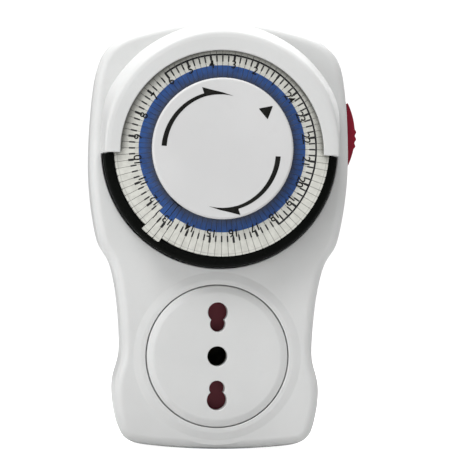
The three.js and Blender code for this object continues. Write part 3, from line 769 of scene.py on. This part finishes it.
def rear_casing():
    outline = casing_outline()
    shell = slab(
        "rear_casing_shell", outline, 0, SPLIT_Z, bottom_edge=1.5, top_edge=0.25, steps=6
    )
    cut(shell, slab("tool", inset(outline, WALL), WALL + 0.2, FAR))
    bosses = [rod(4.2, 1, 10.5, at) for at in SCREWS]
    posts = [rod(3, 1, 14.2, at) for at in POSTS]
    join(shell, *bosses, *posts)
    wells = [rod(3.1, -1, 6, at) for at in SCREWS]
    screw_holes = [rod(SCREW_HOLE_R, -1, FAR, at) for at in SCREWS]
    post_holes = [rod(1.4, 5, FAR, at) for at in POSTS]
    pins = [(0, SOCKET_Y + side * WIDE_PIN[0]) for side in (-1, 0, 1)]
    pin_holes = [rod(PIN_R + GAP, -1, 4, at) for at in pins]
    cut(shell, *wells, *screw_holes, *post_holes, *pin_holes)
    return finish(shell, "casing", WHITE, ["rear_casing"])


def casing_screw(number, centre):
    """Cross-head screw, seen at the bottom of its well in the back."""
    profile = rounded([
        (1.2, 3, 0), (2.7, 3, 0.7), (2.7, 5.6, 0.2), (1.35, 5.6, 0), (1.35, 19.2, 0), (0.3, 20.4, 0)
    ], closed=False)
    screw = turned(f"casing_screw_{number}_head", profile, centre, facets=48)
    x, y = centre
    for width, height in ((0.35, 1.7), (1.7, 0.35)):
        cut(screw, block((x - width, x + width), (y - height, y + height), (2, 4.3)))
    return finish(screw, "casing", STEEL, [f"casing_screw_{number}"])


# ---------------------------------------------------------------- dial

def dial_surround():
    """Black ring round the segments: a low drum below, a narrow ledge under the hood."""
    top = SEGMENT_BOTTOM_Z - GAP
    under = top - 1.4
    foot = FACE_Z - 2.8
    inner = SEGMENT_OUT_R + 0.1
    ledge_r = HOOD_ROOM_R - GAP
    drum_inner = TRAY_R - 1.2
    ledge = turned("dial_surround_ring", rounded([
        (inner, under, 0), (ledge_r, under, 0), (ledge_r, top, 0.2), (inner, top, 0.2)
    ]), ring=True)
    drum = turned("tool", rounded([
        (inner, under, 0),
        (drum_inner, under, 0),
        (drum_inner, foot, 0),
        (TRAY_R, foot, 0),
        (TRAY_R, top, 0.9),
        (inner, top, 0.2),
    ], steps=6), ring=True)
    cut(drum, block((-FAR, FAR), (HOOD_END_Y - 0.05, FAR), (0, FAR)))
    join(ledge, drum)
    return finish(ledge, "casing", BLACK, ["dial_surround"])


def wedge(k, inner=SEGMENT_IN_R, outer=SEGMENT_OUT_R):
    """Outline of segment k, with parallel slits to its neighbours and rounded corners."""
    middle = FIRST_SEGMENT + k * PITCH
    half = math.radians(PITCH / 2)

    def corner(radius, side):
        across = side * (radius * math.sin(half) - SLIT / 2)
        return Matrix.Rotation(math.radians(middle), 2) @ Vector((radius * math.cos(half), across))

    inner_low, inner_high = corner(inner, -1), corner(inner, 1)
    outer_low, outer_high = corner(outer, -1), corner(outer, 1)
    return rounded([
        (*inner_low, 0.1), (*outer_low, 0.25), (*outer_high, 0.25), (*inner_high, 0.1)
    ], steps=3)


def segment_loops(k):
    return slab_loops(wedge(k), SEGMENT_BOTTOM_Z, SEGMENT_TOP_Z, bottom_edge=0.1, top_edge=0.1, steps=3)


def foot_ring():
    inner, outer = FOOT_R
    return turned("tool", [
        (inner, FOOT_Z), (outer, FOOT_Z), (outer, FOOT_TOP_Z), (inner, FOOT_TOP_Z)
    ], ring=True)


def switched_off_segments():
    """All segments but the switched-on ones, with a foot ring below that the trip lever feels."""
    bm = bmesh.new()
    for k in range(SEGMENTS):
        if k not in SWITCHED_ON:
            add_skin(bm, segment_loops(k))
    ring = new_piece("segments_off", bm)
    feet = foot_ring()
    start = FIRST_SEGMENT + (SWITCHED_ON[0] - 0.5) * PITCH
    end = FIRST_SEGMENT + (SWITCHED_ON[-1] + 0.5) * PITCH
    gap = [Vector((0, 0)), polar(FAR, start), polar(FAR, end)]
    cut(feet, slab("tool", gap, 0, FAR))
    join(ring, feet)
    return finish(ring, "dial", DIAL, ["segment_ring"])


def switched_on_segment(number, k):
    """One segment pulled outwards. It is drawn in the off position, so its print moves with it."""
    segment = skin(f"segment_on_{number}_slider", segment_loops(k))
    foot = wedge(k, *FOOT_R)
    join(segment, slab("tool", foot, FOOT_Z, FOOT_TOP_Z))
    segment.location = outward(k)
    return finish(segment, f"segment_{number}", DIAL, [f"segment_on_{number}"])


def outward(k):
    """How far a switched-on segment stands out, in the frame."""
    direction = polar(SEGMENT_TRAVEL, FIRST_SEGMENT + k * PITCH)
    return TO_FRAME.to_3x3() @ Vector((*direction, 0))


def numerals():
    """Solid numerals 1 to 24 round the dial, their feet towards its centre."""
    cap_height = 0.7  # of the font, as a share of its size
    bm = bmesh.new()
    for hour in range(1, 25):
        curve = bpy.data.curves.new("numeral", "FONT")
        curve.body = str(hour)
        curve.size = NUMERAL_HEIGHT / cap_height
        curve.extrude = 0.1
        curve.offset = 0.025  # any more and the 3 and the 8 run into themselves
        curve.space_character = 0.92
        text = bpy.data.objects.new("numeral", curve)
        bpy.context.scene.collection.objects.link(text)
        graph = bpy.context.evaluated_depsgraph_get()
        mesh = bpy.data.meshes.new_from_object(text.evaluated_get(graph))
        bpy.data.objects.remove(text)
        xs = [v.co.x for v in mesh.vertices]
        ys = [v.co.y for v in mesh.vertices]
        middle = Vector(((min(xs) + max(xs)) / 2, (min(ys) + max(ys)) / 2, 0))
        angle = MIDNIGHT + hour * HOUR
        place = Matrix.Translation((*polar(NUMERAL_R, angle), SEGMENT_TOP_Z))
        upright = Matrix.Rotation(math.radians(angle - 90), 4, "Z")
        mesh.transform(place @ upright @ Matrix.Translation(-middle))
        bm.from_mesh(mesh)
    bmesh.ops.remove_doubles(bm, verts=bm.verts, dist=1e-5)
    return new_piece("numerals", bm)


def printed_numerals(name, segments, body, offset=None):
    """The numerals' ink on some segments, cut through by the slits. None where no numeral stands."""
    film = 0.02
    bm = bmesh.new()
    for k in segments:
        add_skin(bm, slab_loops(wedge(k), SEGMENT_TOP_Z - film, SEGMENT_TOP_Z + film))
    film_piece = combine("INTERSECT", numerals(), [new_piece("tool", bm)])
    if not film_piece.data.polygons:
        bpy.data.objects.remove(film_piece)
        return None
    film_piece.name = name
    if offset:
        film_piece.location = offset
    return finish(film_piece, body, INK)


def centre_cap():
    """Fixed disc in the middle of the dial, with a rounded rim and a stem on the spindle."""
    under, top = CAP_Z
    stem_r, stem_z = 5, 31.6
    middle_r = 2
    cap = turned("centre_cap_disc", rounded([
        (middle_r, stem_z, 0),
        (stem_r, stem_z, 0.3),
        (stem_r, under, 0),
        (CAP_R, under, 0.4),
        (CAP_R, top, 0.75),
        (middle_r, top, 0),
    ], closed=False, steps=7))
    bore = rod(2.5, 30, 36.9)
    cut(cap, bore)
    return finish(cap, "casing", CAP_WHITE, ["centre_cap"])


def cap_prints():
    """Two arrows that show which way the dial turns, and the triangle that points at the time."""
    film = 0.04
    top = CAP_Z[1]
    tail, neck, tip = 177, 109, 79  # directions of an arrow's tail, of its barb and of its tip
    tip_r, inner_r, neck_r, tail_r, barb_r = 16, 16.35, 17.3, 17.85, 19.2
    outer = taper((tail_r, tail), (neck_r, neck), 24)
    head = [polar(barb_r, neck), polar(17.6, 99.7), polar(16.75, 90.6), polar(tip_r, tip)]
    under = taper((tip_r, tip), (inner_r, neck), 6)[1:-1]
    arrow_line = outer + head + under + arc(inner_r, neck, tail, 24)
    for number, turn, shift in ((1, 0, (-0.1, -0.45)), (2, 180, (-0.95, -1.2))):
        outline = [Matrix.Rotation(math.radians(turn), 2) @ p + Vector(shift) for p in arrow_line]
        arrow = slab(f"cap_arrow_{number}", outline[::-1], top - film, top + film)
        finish(arrow, "casing", INK)
    centre = (-0.5, -0.1)
    corners = [polar(19.6, 40.5, centre), polar(16, 47.8, centre), polar(16, 33, centre)]
    pointer = slab("cap_pointer", rounded([(*p, 0.15) for p in corners]), top - film, top + film)
    return finish(pointer, "casing", INK)


# ---------------------------------------------------------------- lever

def override_lever():
    """Red thumb lever: a ribbed quadrant on an arm."""
    low, high = LEVER_MIDDLE - LEVER_HALF_SWEEP, LEVER_MIDDLE + LEVER_HALF_SWEEP
    rim = []
    steps = 240
    for k in range(steps + 1):
        angle = low + (high - low) * k / steps
        turns = (angle - RIBS_MIDDLE) / RIB_PITCH
        rib = (1 + math.cos(math.radians(360 * turns))) / 2 if abs(turns) < 1.5 else 0
        rim.append(polar(LEVER_R + RIB_HEIGHT * rib, angle, LEVER_PIVOT))
    outline = rim + arc(LEVER_INNER_R, high, low, 40, LEVER_PIVOT)
    edge = 0.35
    lever = slab("override_lever_grip", outline, *LEVER_GRIP_Z, bottom_edge=edge, top_edge=edge, steps=3)
    arm_z = (16.4, 19.2)
    x, y = LEVER_PIVOT
    arm = [
        Vector((x + 2, y - 2.5)),
        Vector((x + 17, y - 3.7)),
        Vector((x + 17, y + 1.3)),
        Vector((x + 2, y + 2.5)),
    ]
    hub = rod(4, *arm_z, LEVER_PIVOT)
    peg_side = 78  # direction of the peg from the pivot, in degrees
    lug = rod(2.2, *arm_z, polar(4, peg_side, LEVER_PIVOT))
    peg = rod(1.4, arm_z[0], LEVER_Z[1], polar(5.2, peg_side, LEVER_PIVOT))
    join(lever, slab("tool", arm, *arm_z), hub, lug, peg)
    pivot_hole = rod(1.9, 15, 21, LEVER_PIVOT)
    cut(lever, pivot_hole)
    return finish(lever, "override", RED, ["override_lever"])


# ---------------------------------------------------------------- socket and plug

def socket_face():
    """Socket disc with a softly domed edge and a keyhole at each end for two sizes of pin."""
    back = SOCKET_FACE_Z - 5.8
    middle_r = 1
    flange_r = 23.6
    flange_z = (back + 0.8, back + 2.3)
    disc = turned("socket_face_disc", rounded([
        (middle_r, back, 0),
        (SOCKET_R, back, 0),
        (SOCKET_R, flange_z[0], 0),
        (flange_r, flange_z[0], 0),
        (flange_r, flange_z[1], 0),
        (SOCKET_R, flange_z[1], 0),
        (SOCKET_R, SOCKET_FACE_Z - 0.8, 0.5),
        (18.8, SOCKET_FACE_Z, 2.5),
        (middle_r, SOCKET_FACE_Z, 0),
    ], closed=False, steps=6), (0, SOCKET_Y))
    holes = [(0, EARTH_HOLE_R)]
    for offset, radius in (WIDE_PIN, NARROW_PIN):
        holes += [(offset, radius), (-offset, radius)]
    for offset, radius in holes:
        cut(disc, flared(radius, back - 2, SOCKET_FACE_Z, 0.25, (0, SOCKET_Y + offset)))
    return finish(disc, "casing", WHITE, ["socket_face"])


def plug_pin(name, offset, sleeved):
    """Round pin with a collar inside the casing. A sleeved pin has a thinner neck for its sleeve."""
    tip, inner = span(name)[2]
    shoulder = -10
    collar = (2.6, 4)
    shank = [(PIN_R, collar[0], 0)]
    if sleeved:
        neck = 1.8
        shank = [(PIN_R, shoulder, 0.1), (neck, shoulder + 0.1, 0.05), (neck, collar[0], 0)]
    profile = rounded([
        (0.5, tip, 0), (1.5, tip, 0.4), (PIN_R, tip + 1.3, 0.8), *shank,
        (4, collar[0], 0.2), (4, collar[1], 0.2), (2.2, collar[1], 0), (2.2, inner, 0.2), (0.5, inner, 0),
    ], closed=False)
    pin = turned(f"{name}_turned", profile, (0, SOCKET_Y + offset), facets=FINE)
    return finish(pin, "casing", NICKEL, [name])


def pin_sleeve(name, offset):
    bottom, top = -9.7, 2.2
    bore_r = 2.1
    sleeve = turned(f"{name}_moulding", rounded([
        (bore_r, bottom, 0), (PIN_R, bottom, 0.15), (PIN_R, top, 0), (bore_r, top, 0)
    ]), (0, SOCKET_Y + offset), ring=True, facets=FINE)
    return finish(sleeve, "casing", BLACK, [name])


def shutter_spring():
    """Round-wire coil spring that the shutter presses together against its fixed end."""
    start, end = span("shutter_spring")[0]
    middle_z = sum(span("shutter_spring")[2]) / 2
    radius, wire, turns = 0.9, 0.2, 7
    section = 10
    steps = 28 * turns
    loops = []
    for k in range(steps + 1):
        angle = 2 * math.pi * turns * k / steps
        outwards = Vector((0, math.cos(angle), math.sin(angle)))
        x = start + wire + (end - start - 2 * wire) * k / steps
        centre = Vector((x, SOCKET_Y, middle_z)) + outwards * radius
        along = Vector((end - start, 0, 0)) / (2 * math.pi * turns)
        along += Vector((0, -math.sin(angle), math.cos(angle))) * radius
        sideways = along.normalized().cross(outwards)
        loops.append([
            centre + outwards * wire * math.cos(turn) + sideways * wire * math.sin(turn)
            for turn in (2 * math.pi * i / section for i in range(section))
        ])
    spring = skin("shutter_spring_coil", loops)
    finish(spring, "casing", STEEL, ["shutter_spring"])
    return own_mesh(spring)


# ---------------------------------------------------------------- pieces carried over from the CAD

def dress_cad_nodes():
    """Gives every CAD node that still shows its material, and takes the hard edge off it."""
    slots = {part["node"]: part["material_slot"] for part in frame["record"]["subparts"]}
    for name, node in frame["nodes"].items():
        if node.hide_render:
            continue
        node.data.materials.clear()
        node.data.materials.append(BY_SLOT[slots[name]])
        weld = node.modifiers.new("weld", "WELD")
        weld.merge_threshold = 1e-6
        edge = node.modifiers.new("edge", "BEVEL")
        edge.width = 0.00008
        edge.segments = 2
        edge.limit_method = "ANGLE"
        edge.angle_limit = math.radians(40)


# ---------------------------------------------------------------- stage

def stage():
    lowest = cad_bounds[0].z
    bm = bmesh.new()
    bmesh.ops.create_grid(bm, x_segments=1, y_segments=1, size=4)
    floor = new_piece("floor", bm)
    floor.location.z = lowest
    s = Shader("pale_floor")
    s.set(base_color=s.blend(s.noise(0.4, 2), rgb(0.62, 0.62, 0.62), rgb(0.66, 0.66, 0.66)), roughness=0.8)
    seen = Value(s, s.node("LightPath").outputs["Is Camera Ray"])
    whiteness = 0.95  # so that the camera sees a nearly white floor, as in a photo studio
    s.set(emission_color=rgb(1, 1, 1), emission_strength=seen * whiteness)
    floor.data.materials.append(s.material)


def world():
    """White surroundings: bright behind the object, dimmer as a light."""
    background = bpy.data.worlds.new("studio")
    background.use_nodes = True
    tree = background.node_tree
    tree.nodes.clear()
    path = tree.nodes.new("ShaderNodeLightPath")
    strength = tree.nodes.new("ShaderNodeMapRange")
    strength.inputs["To Min"].default_value = 0.3
    strength.inputs["To Max"].default_value = 1.1
    light = tree.nodes.new("ShaderNodeBackground")
    light.inputs["Color"].default_value = rgb(1, 1, 1)
    output = tree.nodes.new("ShaderNodeOutputWorld")
    tree.links.new(path.outputs["Is Camera Ray"], strength.inputs["Value"])
    tree.links.new(strength.outputs[0], light.inputs["Strength"])
    tree.links.new(light.outputs[0], output.inputs[0])
    bpy.context.scene.world = background


def softbox(name, location, target, size, power):
    light = bpy.data.lights.new(name, "AREA")
    light.shape = "RECTANGLE"
    light.size, light.size_y = size
    light.energy = power
    lamp = bpy.data.objects.new(name, light)
    bpy.context.scene.collection.objects.link(lamp)
    lamp.location = location
    lamp.rotation_euler = (Vector(target) - Vector(location)).to_track_quat("-Z", "Y").to_euler()


def lights():
    middle = (0, -0.02, -0.02)
    softbox("key", (-0.3, -0.45, 0.75), middle, (0.4, 0.35), 5.1)
    softbox("top", (0.1, 0.12, 0.8), middle, (0.9, 0.7), 8)
    softbox("fill", (-0.75, -0.6, 0.1), middle, (0.6, 0.6), 2.9)
    softbox("back", (0.3, 0.8, 0.4), middle, (0.8, 0.6), 3)


def camera():
    """In front of the timer, a little to its left and level with the neck."""
    azimuth, elevation, roll = math.radians(-4.4), math.radians(-0.8), math.radians(0.75)
    distance = 0.7
    target = Vector((0.0022, -0.02, -0.0219))
    outwards = Vector((
        math.sin(azimuth) * math.cos(elevation),
        -math.cos(azimuth) * math.cos(elevation),
        math.sin(elevation),
    ))
    lens = bpy.data.cameras.new("camera")
    lens.sensor_width = 36
    lens.lens = 187.6
    lens.clip_start = 0.01
    view = bpy.data.objects.new("camera", lens)
    bpy.context.scene.collection.objects.link(view)
    turn = outwards.to_track_quat("Z", "Y").to_matrix() @ Matrix.Rotation(roll, 3, "Z")
    view.matrix_world = Matrix.Translation(target + outwards * distance) @ turn.to_4x4()
    bpy.context.scene.camera = view


# ---------------------------------------------------------------- assembly

front_casing()
rear_casing()
for index, place in enumerate(SCREWS, 1):
    casing_screw(index, place)
dial_surround()
switched_off_segments()
off = [k for k in range(SEGMENTS) if k not in SWITCHED_ON]
printed_numerals("numerals_off", off, "dial")
for index, k in enumerate(SWITCHED_ON, 1):
    switched_on_segment(index, k)
    printed_numerals(f"numeral_on_{index}", [k], f"segment_{index}", outward(k))
centre_cap()
cap_prints()
override_lever()
socket_face()
plug_pin("line_pin", WIDE_PIN[0], True)
plug_pin("earth_pin", 0, False)
plug_pin("neutral_pin", -WIDE_PIN[0], True)
pin_sleeve("line_pin_sleeve", WIDE_PIN[0])
pin_sleeve("neutral_pin_sleeve", -WIDE_PIN[0])
shutter_spring()
dress_cad_nodes()

stage()
world()
lights()
camera()
bpy.context.scene.view_settings.view_transform = "Standard"
